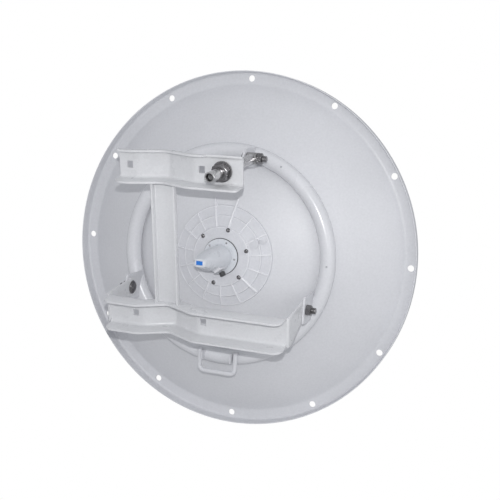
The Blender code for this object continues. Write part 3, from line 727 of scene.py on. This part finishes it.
def make_hub():
    profile = [
        (0, HUB_TOP), (0.0735, HUB_TOP), (0.0775, 0.1460), (0.0815, 0.1452), (0.0830, 0.1452),
        (0.1000, 0.1418), (0.1030, 0.1418), (0.1052, 0.1368), (0.1080, 0.1364), (0.1262, 0.1328),
        (0.1285, 0.1328), (HUB_R, 0.1300), (HUB_R + 0.0002, dish_height(HUB_R) - 0.001),
    ]
    radii = [0.003, 0.0035, 0.0008, 0.0008, 0.0012, 0.003, 0.002, 0.0025, 0.0015, 0.0012, 0.001]
    parts = [lathe(rounded(profile, radii, 4), 160)]
    pad = lathe(rounded([(0, 0.0015), (PAD_R, 0.0015), (PAD_R + 0.0002, -0.004)], [0.0006], 3), 48)
    parts.append(shifted(pad, *PAD_AT))
    parts.append(shifted(block(TAB_SIZE, 0.001), *TAB_AT))
    boss = rounded([(0.0085, 0.0), (0.0082, 0.0012), (0, 0.0012)], [0.0004], 2)
    for degrees in hub_screw_angles():
        parts.append(shifted(lathe(boss, 32), *polar(HUB_BOSS_AT_R, degrees, HUB_TOP)))
    # The ribs and moulding beads take a paler colour than the hub: a painted highlight along them.
    show("hub_ribs", joined(*hub_ribs()), AXIS, "hub_plastic", "dish", finish="white_seal_and_rib_highlight")
    show("hub_moulding", joined(*parts), AXIS, "hub_plastic", "dish", "hub")
    for k, degrees in enumerate(hub_screw_angles()):
        at = Matrix.Translation(polar(HUB_SCREW_AT_R, degrees, HUB_TOP))
        show(f"hub_screw_{k}", hub_screw(), AXIS @ at, "dark_steel", "dish", finish="screw_steel")


# Feed

def port_end(mesh):
    """Narrows the feed's round body to an oblong end round its port."""
    for vertex in mesh.vertices:
        along = (vertex.co.z - PORT_FROM_H) / (FEED_END_H - PORT_FROM_H)
        r = math.hypot(vertex.co.x, vertex.co.y)
        if along <= 0 or r < 1e-6:
            continue
        along = along ** PORT_CURVE
        wide, high = 1 - PORT_NARROW[0] * along, 1 - PORT_NARROW[1] * along
        power = 2 + PORT_SQUARE * along
        across, up = abs(vertex.co.x) / r / wide, abs(vertex.co.y) / r / high
        scale = (across ** power + up ** power) ** (-1 / power)
        vertex.co.x *= scale
        vertex.co.y *= scale
    return mesh


def feed_body():
    """The feed's tapered body with its oblong end and the recess of its port."""
    profile = [(0, FLANGE_TOP - 0.002), (0.0318, FLANGE_TOP - 0.002), (0.0315, FLANGE_TOP + 0.004),
               (0.0308, 0.185), (0.0256, 0.2340), (0.0246, 0.2430), (0.0232, 0.2530), (0.0216, 0.2640),
               (0.0202, 0.2740), (0.0192, 0.2820), (0.0185, FEED_END_H), (0, FEED_END_H)]
    radii = [0.001, 0.003, 0.010, 0.004, 0.004, 0.004, 0.004, 0.003, 0.002, 0.0025]
    body = port_end(lathe(rounded(profile, radii, 4), 96))
    return combine(body, shifted(block(PORT_SIZE, 0.0006), z=FEED_END_H))


def drain_plug():
    """The ribbed rubber plug, about Z."""
    profile = [(0, 0.0003)]
    for k in range(PLUG_GROOVES):
        z = -0.0002 - PLUG_PITCH * k
        profile += [(PLUG_R, z), (PLUG_R, z - 0.0012)]
        profile += [(PLUG_GROOVE_R, z - 0.0014), (PLUG_GROOVE_R, z - 0.0021)]
    profile.append((0, -PLUG_LONG))
    return lathe(rounded(profile, [0.0003] * (len(profile) - 2), 2), 40)


def make_feed_flange():
    low = HUB_TOP
    high = low + GASKET_THICK
    mesh = lathe(rounded([(0, low), (GASKET_R, low), (GASKET_R, high), (0, high)], [0.0003, 0.0003]), 96)
    show("feed_seal", mesh, AXIS, "black_rubber", "dish", "feed_gasket")
    profile = [(FLANGE_BORE_R, high), (FLANGE_R, high), (FLANGE_R, FLANGE_TOP), (0.034, FLANGE_TOP),
               (0.0325, FLANGE_TOP - 0.0006), (FLANGE_BORE_R, FLANGE_TOP - 0.0006)]
    mesh = lathe(rounded(profile, [0.0003, 0.0009, 0.0004, 0.0004]), 96)
    show("feed_ring", mesh, AXIS, "feed_paint", "dish", "feed_flange")
    profile = rounded([(0, 0.0022), (0.0022, 0.0021), (0.0029, 0.001), (0.0029, -0.0005)], [0.0006, 0.0006])
    for k in range(FEED_SCREW_COUNT):
        degrees = FEED_SCREW_PHASE - 360 // FEED_SCREW_COUNT * k
        at = Matrix.Translation(polar(FEED_SCREW_AT_R, degrees, FLANGE_TOP))
        show(f"feed_screw_{k}", lathe(profile, 24), AXIS @ at, "steel", "dish")


def make_feed():
    show("feed_cone", feed_body(), AXIS, "feed_paint", "dish", "feed_body")
    lobe = moved(block(BOSS_SIZE, 0.0015, 4), Matrix.Rotation(BOSS_TURN, 4, "Z"))
    lobe = shifted(lobe, BOSS_X, BOSS_Z, BOSS_H)
    show("feed_boss", lobe, AXIS, "feed_paint", "dish", finish="gloss_paint")
    film = shifted(block(FILM_SIZE, 0.0003), FILM_X, 0, FEED_END_H - FILM_IN)
    show("port_film", film, AXIS, "blue_film", "dish", "feed_port_window")
    seal = shifted(block(PORT_SEAL_SIZE, 0.0005), 0, 0, FEED_END_H - PORT_SEAL_IN)
    show("port_seal", seal, AXIS, "feed_paint", "dish", finish="white_seal_and_rib_highlight")
    at = DISH @ Matrix.Translation((PLUG_X, PLUG_Y, PLUG_Z)) @ Matrix.Rotation(PLUG_TURN, 4, "Y")
    show("drain_plug", drain_plug(), at, "black_rubber", "dish", "feed_plug", finish="grey_rubber")


def make_front_feed():
    base = DISH_DEPTH - SHELL
    front = base - COLLAR_THICK
    profile = [(0, base), (COLLAR_R, dish_height(COLLAR_R) - SHELL), (COLLAR_R, front), (0, front)]
    mesh = lathe(rounded(profile, [0.0006, 0.001]), 96)
    show("front_flange", mesh, AXIS, "feed_paint", "dish", "front_collar")
    profile = [(0, base - 0.005), (TUBE_R, base - 0.005), (TUBE_R, TUBE_END), (0, TUBE_END)]
    mesh = lathe(rounded(profile, [0.0005, 0.0008]), 64)
    show("front_tube", mesh, AXIS, "aluminium", "dish", "feed_tube")
    profile = [(0, HORN_START), (TUBE_R, HORN_START), (0.0185, -0.162), (0.026, -0.173), (0.044, HORN_END),
               (0, HORN_END)]
    mesh = lathe(rounded(profile, [0.0005, 0.002, 0.004, 0.0008]), 96)
    show("feed_horn", mesh, AXIS, "dielectric", "dish", "feed_dielectric")
    profile = [(0, HORN_END), (SPLASH_R, HORN_END), (SPLASH_R, -0.1968), (0.044, SPLASH_END)]
    profile.append((0, SPLASH_END))
    mesh = lathe(rounded(profile, [0.0004, 0.001, 0.001]), 96)
    show("splash_disc", mesh, AXIS, "aluminium", "dish", "splash_plate")
    profile = rounded([(0, -0.0001), (0.003, -0.0001), (0.003, 0.0016), (0, 0.0016)], [0.0004, 0.0004])
    for k in range(COLLAR_SCREW_COUNT):
        degrees = 45 + 360 // COLLAR_SCREW_COUNT * k
        at = Matrix.Translation(polar(COLLAR_SCREW_AT_R, degrees, front - COLLAR_SCREW_HIGH))
        show(f"collar_screw_{k}", lathe(profile, 24), AXIS @ at, "steel", "dish")


# Carrying handle

def make_handle():
    curve = bpy.data.curves.new("handle", "CURVE")
    curve.dimensions = "3D"
    curve.bevel_depth = HANDLE_R
    curve.bevel_resolution = 8
    curve.use_fill_caps = True
    x, bend_z = HANDLE_HALF, HANDLE_LOW + HANDLE_BEND_R
    path = [(-x, HANDLE_HIGH)]
    path += arc((-x + HANDLE_BEND_R, bend_z), HANDLE_BEND_R, 180, 270, 12)
    path += arc((x - HANDLE_BEND_R, bend_z), HANDLE_BEND_R, 270, 360, 12)
    path.append((x, HANDLE_HIGH))
    spline = curve.splines.new("POLY")
    spline.points.add(len(path) - 1)
    for point, (px, pz) in zip(spline.points, path):
        point.co = (px, 0, pz, 1)
    ring_rear = RING_BEHIND_RIM + RING_TUBE_R
    at = DISH @ Matrix.Translation((0, -(ring_rear + HANDLE_R), 0))
    show("handle_bar", curve_mesh(curve), at, "dish_paint", "dish", "handle")
    middle_z = -math.sqrt(RING_R ** 2 - CLIP_X ** 2)
    inner = ring_rear - CLIP_IN
    outer = ring_rear + CLIP_OUT
    for word, side in (("left", -1), ("right", 1)):
        mesh = block((CLIP_THICK, outer - inner, CLIP_HIGH), 0.0007)
        at = DISH @ Matrix.Translation((side * CLIP_X, -(inner + outer) / 2, middle_z))
        show(f"{word}_clip", mesh, at, "dish_paint", "dish", f"{word}_handle_clip")


# Brackets

def sharp_vee(x, deep):
    """The web's depth at x in the pole seat, with sharp creases."""
    if x <= VEE[0] or x >= VEE[2]:
        return 0.0
    span = VEE[1] - VEE[0] if x < VEE[1] else VEE[2] - VEE[1]
    return deep * (1 - abs(x - VEE[1]) / span)


def vee(x, deep):
    """The web's depth at x with its creases rounded."""
    return sum(sharp_vee(x + CREASE * k / 6, deep) for k in range(-6, 7)) / 13


def section(x, low, high, low_deep, top_deep, vee_deep):
    """Outer skin of the channel at x, from the top flange's free edge round to the lower one's."""
    y = vee(x, vee_deep)
    bend = SHEET - BEND_R + y
    points = [(y - top_deep, high)]
    points += arc((bend, high - BEND_R), BEND_R, 90, 0, 8)
    points += arc((bend, low + BEND_R), BEND_R, 0, -90, 8)
    points.append((y - low_deep, low))
    return [(x, py, pz) for py, pz in points]


def corner_trim(x, end, radius):
    """How much a flange's rounded corner takes off its depth at x."""
    past = radius - abs(end - x)
    if past <= 0:
        return 0.0
    return radius - math.sqrt(max(radius * radius - past * past, 0.0))


def corner_xs(end, radius):
    """The places along x that draw a flange's rounded corner."""
    inward = radius if end < 0 else -radius
    return {end + inward * (1 - math.cos(math.radians(90 * i / 14))) for i in range(15)}


def vee_xs():
    """The places along x that draw the rounded creases of the pole seat."""
    xs = set(VEE_MIDS)
    for crease in VEE:
        xs.update(crease + CREASE * 1.2 * k / 6 for k in range(-6, 7))
    return xs


def square_holes(mesh, xs, z):
    """A bracket's mesh with its square bolt holes cut."""
    for x in xs:
        mesh = combine(mesh, shifted(block(SQUARE_HOLE, 0.0012), x, 0, z))
    return mesh


def make_upper_bracket():
    xs = vee_xs() | corner_xs(UPPER_LEFT, UPPER_LEFT_CORNER) | corner_xs(UPPER_LEFT, UPPER_TOP_CORNER)
    xs |= corner_xs(UPPER_RIGHT, UPPER_RIGHT_CORNER)
    xs |= {UPPER_STEP_X + 0.001 * k for k in range(7)}
    rows = []
    for x in sorted(xs):
        step = min(max((x - UPPER_STEP_X) / UPPER_STEP_LONG, 0), 1)
        step = step * step * (3 - 2 * step)
        top = UPPER_TOP_DEEP - UPPER_TOP_STEP * step - corner_trim(x, UPPER_LEFT, UPPER_TOP_CORNER)
        low = FLANGE_DEEP - corner_trim(x, UPPER_LEFT, UPPER_LEFT_CORNER)
        low -= corner_trim(x, UPPER_RIGHT, UPPER_RIGHT_CORNER)
        rows.append(section(x, UPPER_LOW, UPPER_HIGH, low, top, UPPER_VEE_DEEP))
    mesh = square_holes(sheet_metal(grid_mesh(rows)), UPPER_HOLES_X, UPPER_HOLES_Z)
    outline = arc((0, SLOT_HALF), SLOT_R, 0, 180, 24) + arc((0, -SLOT_HALF), SLOT_R, 180, 360, 24)
    slot = moved(plate([outline], 0.03, 0.0001), UPRIGHT)
    mesh = combine(mesh, shifted(slot, SLOT_X, 0, SLOT_Z))
    show("upper_channel", mesh, MOUNT, "frame_paint", "mount_frame", "upper_bracket")


def arm_outline():
    """(y, low z, high z) stations along an arm, from the bracket's bend to the ear's end."""
    stations = [(SHEET + ARM_BEND_R, LOWER_LOW, LOWER_HIGH), (ARM_TAPER_Y, LOWER_LOW, LOWER_HIGH)]
    for degrees in [114, 108, 102, 96] + [90 - 5 * i for i in range(17)]:
        angle = math.radians(degrees)
        rise = EAR_R * math.sin(angle)
        y = PIVOT_Y + EAR_R * math.cos(angle)
        stations.append((y, PIVOT_Z - rise, PIVOT_Z + rise * (1 + EAR_RISE / EAR_R)))
    return stations


def arm_mesh(side):
    """One side arm's sheet, bent back from the end of the web."""
    bend_x = ARM_OUT_X - SHEET - ARM_BEND_R
    start = LOWER_END if side < 0 else LOWER_RIGHT_END
    path = [(start, SHEET, LOWER_LOW + BEND_R, LOWER_HIGH - BEND_R)]
    path.append((bend_x, SHEET, LOWER_LOW + ARM_NOTCH, LOWER_HIGH - ARM_NOTCH))
    bends = arc((bend_x, SHEET + ARM_BEND_R), ARM_BEND_R, -90, 0, 6)[1:-1]
    path += [(x, y, LOWER_LOW + ARM_NOTCH / 3, LOWER_HIGH - ARM_NOTCH / 3) for x, y in bends]
    path += [(bend_x + ARM_BEND_R, y, low, high) for y, low, high in arm_outline()]
    rows = [[(side * x, y, high - (high - low) * t / 4) for t in range(5)] for x, y, low, high in path]
    if side < 0:
        rows.reverse()
    return sheet_metal(grid_mesh(rows))


def make_lower_bracket():
    xs = vee_xs() | corner_xs(-LOWER_END, LOWER_CORNER) | corner_xs(LOWER_RIGHT_END, LOWER_CORNER)
    rows = []
    for x in sorted(xs):
        end = -LOWER_END if x < 0 else LOWER_RIGHT_END
        deep = FLANGE_DEEP - corner_trim(x, end, LOWER_CORNER)
        rows.append(section(x, LOWER_LOW, LOWER_HIGH, deep, deep, LOWER_VEE_DEEP))
    parts = [square_holes(sheet_metal(grid_mesh(rows)), LOWER_HOLES_X, LOWER_HOLES_Z)]
    for side in (-1, 1):
        hole = shifted(moved(drill(HOLE_R, 0.03, 48), SIDEWAYS), side * ARM_OUT_X, PIVOT_Y, PIVOT_Z)
        parts.append(combine(arm_mesh(side), hole))
    show("lower_channel", joined(*parts), MOUNT, "frame_paint", "mount_frame", "lower_bracket")


def make_column():
    x, y = COLUMN_HALF - COLUMN_BEND_R, SHEET - COLUMN_BEND_R
    skin = [(-COLUMN_HALF, -COLUMN_DEEP)]
    skin += arc((-x, y), COLUMN_BEND_R, 180, 90, 8)
    skin += arc((x, y), COLUMN_BEND_R, 90, 0, 8)
    skin.append((COLUMN_HALF, -COLUMN_DEEP))
    heights = (UPPER_LOW + COLUMN_SINK, LOWER_HIGH - COLUMN_SINK)
    mesh = sheet_metal(grid_mesh([[(px, py, pz) for pz in heights] for px, py in skin]))
    at = MOUNT @ Matrix.Translation((COLUMN_X, 0, 0))
    show("column_channel", mesh, at, "frame_paint", "mount_frame", "column")


# Bolts and nuts

def cup_bolt(name, length, matrix, body, nut_at, *nodes):
    """A cup-headed bolt along Z: its head is above the start, its thread ends at minus its length."""
    edge = math.radians(HEAD_ARC)
    dome_high = HEAD_HIGH - HEAD_EDGE
    profile = [(0, HEAD_HIGH)]
    for degrees in range(8, HEAD_ARC + 1, 7):
        angle = math.radians(degrees)
        rise = dome_high * (math.cos(angle) - math.cos(edge)) / (1 - math.cos(edge))
        profile.append((HEAD_R * math.sin(angle) / math.sin(edge), HEAD_EDGE + rise))
    profile += [(HEAD_R, 0.0009), (HEAD_R - 0.0008, 0), (BOLT_R, 0), (BOLT_R, -nut_at)]
    shank = lathe(profile, 64)
    thread = threaded(BOLT_R, nut_at, length - 0.0012, BOLT_PITCH, BOLT_THREAD_DEEP, 36)
    thread = moved(thread, Matrix.Rotation(math.pi, 4, "X"))
    tip = lathe([(BOLT_R - 0.0005, -length + 0.0014), (BOLT_R - 0.0014, -length), (0, -length)], 36)
    show(name, joined(shank, thread, tip), matrix, "dark_steel", body, *nodes)


def hex_nut(name, flats, bore, thick, matrix, body, *nodes):
    """A nut about Z, centred on its middle, with chamfered corners."""
    corner = flats / math.sqrt(3)
    prism = plate([circle((0, 0), corner, 6), circle((0, 0), bore)], thick, 0.0002)
    wide, narrow = corner + 0.0003, flats / 2 * 0.95
    # The chamfering solid stands past the faces, so that no faces of the two lie in one plane
    half, over = thick / 2, 0.0005
    slope = (corner - flats / 2 * 0.96) * 0.55
    tip = narrow - over * (wide - narrow) / slope
    profile = [(0, half + over), (tip, half + over), (wide, half - slope)]
    profile += [(wide, slope - half), (tip, -half - over), (0, -half - over)]
    mesh = combine(prism, lathe(profile, 72), "INTERSECT")
    show(name, mesh, matrix, "dark_steel", body, *nodes)


def make_side_pivots():
    head_x = ARM_OUT_X - SHEET - GAP
    nut_x = ARM_OUT_X + GAP + LUG_THICK + GAP
    length = nut_x + NUT_THICK + BOLT_PROUD - head_x
    for word, side in (("left", -1), ("right", 1)):
        at = MOUNT @ Matrix.Translation((side * head_x, PIVOT_Y, PIVOT_Z))
        at = at @ Matrix.Rotation(-side * math.pi / 2, 4, "Y")
        cup_bolt(f"{word}_cup_bolt", length, at, "mount_frame", nut_x - head_x, f"{word}_pivot_bolt")
        at = MOUNT @ Matrix.Translation((side * (nut_x + NUT_THICK / 2), PIVOT_Y, PIVOT_Z)) @ SIDEWAYS
        hex_nut(f"{word}_hex_nut", NUT_FLATS, NUT_BORE_R, NUT_THICK, at, "mount_frame", f"{word}_pivot_nut")


def make_top_pin():
    head_x = TOP_LUG_X - GAP
    nut_x = TOP_LUG_X + LUG_THICK + GAP + EYE_LONG + GAP
    length = nut_x + NUT_THICK + BOLT_PROUD - head_x
    at = DISH @ Matrix.Translation((head_x, *TOP_PIN)) @ Matrix.Rotation(-math.pi / 2, 4, "Y")
    cup_bolt("top_cup_bolt", length, at, "dish", nut_x - head_x, "top_pin_bolt")
    at = DISH @ Matrix.Translation((nut_x + NUT_THICK / 2, *TOP_PIN)) @ SIDEWAYS
    hex_nut("top_hex_nut", NUT_FLATS, NUT_BORE_R, NUT_THICK, at, "dish", "top_pin_nut")


def make_adjuster():
    end, r = ROD_LONG, ROD_R
    thread = threaded(r, ROD_THREAD_START, ROD_SMOOTH, ROD_PITCH, ROD_THREAD_DEEP, 56)
    profile = [(r - 0.0002, ROD_SMOOTH), (r, ROD_SMOOTH + 0.0003), (r, end - 0.0012), (r - 0.0012, end)]
    profile += [(SOCKET_R + 0.0004, end), (SOCKET_R, end - 0.0006)]
    tip = lathe(rounded(profile, [0.0001, 0.0004, 0.0004, 0.0002], 4), 56)
    neck = lathe([(r, ROD_THREAD_START + 0.0008), (r, ROD_START)], 56)
    show("adjuster_screw", joined(thread, tip, neck), ROD, "steel", "adjuster_rod", "adjuster_rod")
    profile = [(SOCKET_R, end - 0.0006), (SOCKET_R - 0.0002, end - 0.014), (0, end - 0.0155)]
    socket = lathe(rounded(profile, [0.001]), 56)
    # The faces look into the socket
    socket.flip_normals()
    # The socket is coloured darker than the rod: painted shade in the recess.
    show("adjuster_socket", socket, ROD, "steel", "adjuster_rod", finish="socket_painted_shade")
    half, edge = EYE_LONG / 2, 0.001
    profile = [(HOLE_R, -half), (EYE_R - edge, -half), (EYE_R, edge - half)]
    profile += [(EYE_R, half - edge), (EYE_R - edge, half), (HOLE_R, half)]
    eye = closed_under(lathe(rounded(profile, [0.0004] * 4), 64, closed=True))
    eye = moved(eye, Matrix.Translation((EYE_X, 0, 0)) @ SIDEWAYS)
    show("adjuster_eye", eye, ROD, "steel", "adjuster_rod", finish="worn_steel")


def make_adjuster_nuts():
    for word, low in WASHERS:
        high = low + WASHER_THICK
        profile = [(WASHER_BORE_R, low), (WASHER_R, low), (WASHER_R, high), (WASHER_BORE_R, high)]
        profile = rounded(profile + [profile[0]], [0.0005, 0.0009, 0.0003], 3)[:-1]
        mesh = lathe(profile, 72, closed=True)
        show(f"{word}_disc", mesh, ROD, "dark_steel", "adjuster_nuts", f"{word}_washer")
    for word, middle, thick in BIG_NUTS:
        at = ROD @ Matrix.Translation((0, 0, middle)) @ Matrix.Rotation(BIG_NUT_TURN, 4, "Z")
        name = f"{word}_big_nut"
        hex_nut(name, BIG_NUT_FLATS, BIG_NUT_BORE_R, thick, at, "adjuster_nuts", f"{word}_nut")


# Floor, light and camera

def camera_only(tree, shown, hidden):
    """Shows one shader to the camera and another one to everything else."""
    path = node(tree, "ShaderNodeLightPath")
    mix = node(tree, "ShaderNodeMixShader")
    tree.links.new(path.outputs["Is Camera Ray"], mix.inputs["Fac"])
    tree.links.new(hidden.outputs[0], mix.inputs[1])
    tree.links.new(shown.outputs[0], mix.inputs[2])
    return mix.outputs[0]


def make_stage():
    bpy.ops.mesh.primitive_plane_add(size=FLOOR_SIZE, location=(0, 0, FLOOR_Z))
    floor = bpy.context.object
    floor.name = "floor"
    material = bpy.data.materials.new("floor_look")
    material.use_nodes = True
    tree = material.node_tree
    tree.nodes.clear()
    shown = node(tree, "ShaderNodeEmission", inputs={"Color": (1, 1, 1, 1), "Strength": 1.0})
    hidden = node(tree, "ShaderNodeBsdfDiffuse", inputs={"Color": (0.75, 0.75, 0.75, 1)})
    out = node(tree, "ShaderNodeOutputMaterial")
    tree.links.new(camera_only(tree, shown, hidden), out.inputs["Surface"])
    floor.data.materials.append(material)


def make_world():
    world = bpy.data.worlds.new("studio")
    bpy.context.scene.world = world
    world.use_nodes = True
    tree = world.node_tree
    tree.nodes.clear()
    shown = node(tree, "ShaderNodeBackground", inputs={"Color": (1, 1, 1, 1), "Strength": 1.0})
    way = node(tree, "ShaderNodeTexCoord").outputs["Generated"]
    lean = node(tree, "ShaderNodeVectorMath", {"operation": "DOT_PRODUCT"})
    lean.inputs[1].default_value = Vector(FILL_FROM).normalized()
    tree.links.new(way, lean.inputs[0])
    low, high = FILL * (1 - FILL_LEAN), FILL * (1 + FILL_LEAN)
    ends = {"From Min": -1.0, "From Max": 1.0, "To Min": low, "To Max": high}
    ramp = node(tree, "ShaderNodeMapRange", inputs=ends)
    tree.links.new(lean.outputs["Value"], ramp.inputs["Value"])
    hidden = node(tree, "ShaderNodeBackground", inputs={"Color": FILL_TINT})
    tree.links.new(ramp.outputs["Result"], hidden.inputs["Strength"])
    out = node(tree, "ShaderNodeOutputWorld")
    tree.links.new(camera_only(tree, shown, hidden), out.inputs["Surface"])


def camera_axes():
    """The camera's right, up and back, from its turn, rise and roll."""
    flat = math.cos(CAMERA_RISE)
    back = Vector((math.sin(CAMERA_TURN) * flat, -math.cos(CAMERA_TURN) * flat, math.sin(CAMERA_RISE)))
    right = Vector((0, 0, 1)).cross(back).normalized()
    up = back.cross(right)
    c, s = math.cos(CAMERA_ROLL), math.sin(CAMERA_ROLL)
    return c * right + s * up, c * up - s * right, back


def make_camera():
    right, up, back = camera_axes()
    data = bpy.data.cameras.new("photo_camera")
    data.lens = CAMERA_LENS
    data.sensor_width = 36
    data.clip_start = 0.01
    camera = bpy.data.objects.new("photo_camera", data)
    bpy.context.scene.collection.objects.link(camera)
    camera.matrix_world = Matrix((
        (right.x, up.x, back.x, CAMERA_AT.x),
        (right.y, up.y, back.y, CAMERA_AT.y),
        (right.z, up.z, back.z, CAMERA_AT.z),
        (0, 0, 0, 1),
    ))
    bpy.context.scene.camera = camera


def lamp(name, power, size, place, aim):
    """A round lamp at a place, turned to what it lights."""
    light = bpy.data.lights.new(name, "AREA")
    light.shape = "DISK"
    light.size = size
    light.energy = power
    obj = bpy.data.objects.new(name, light)
    bpy.context.scene.collection.objects.link(obj)
    turn = (aim - place).to_track_quat("-Z", "Y").to_matrix().to_4x4()
    obj.matrix_world = Matrix.Translation(place) @ turn


def make_lamps():
    up = camera_axes()[1]
    lamp("key", KEY_POWER, KEY_SIZE, CAMERA_AT + KEY_ABOVE * up, Vector(KEY_AIM))
    lamp("side", SIDE_POWER, SIDE_SIZE, Vector(SIDE_AT), Vector(SIDE_AIM))


make_reflector()
make_ring()
make_lugs()
make_hub()
make_feed_flange()
make_feed()
make_front_feed()
make_handle()
make_upper_bracket()
make_lower_bracket()
make_column()
make_side_pivots()
make_top_pin()
make_adjuster()
make_adjuster_nuts()
make_stage()
make_world()
make_camera()
make_lamps()
bpy.context.scene.view_settings.view_transform = "Standard"
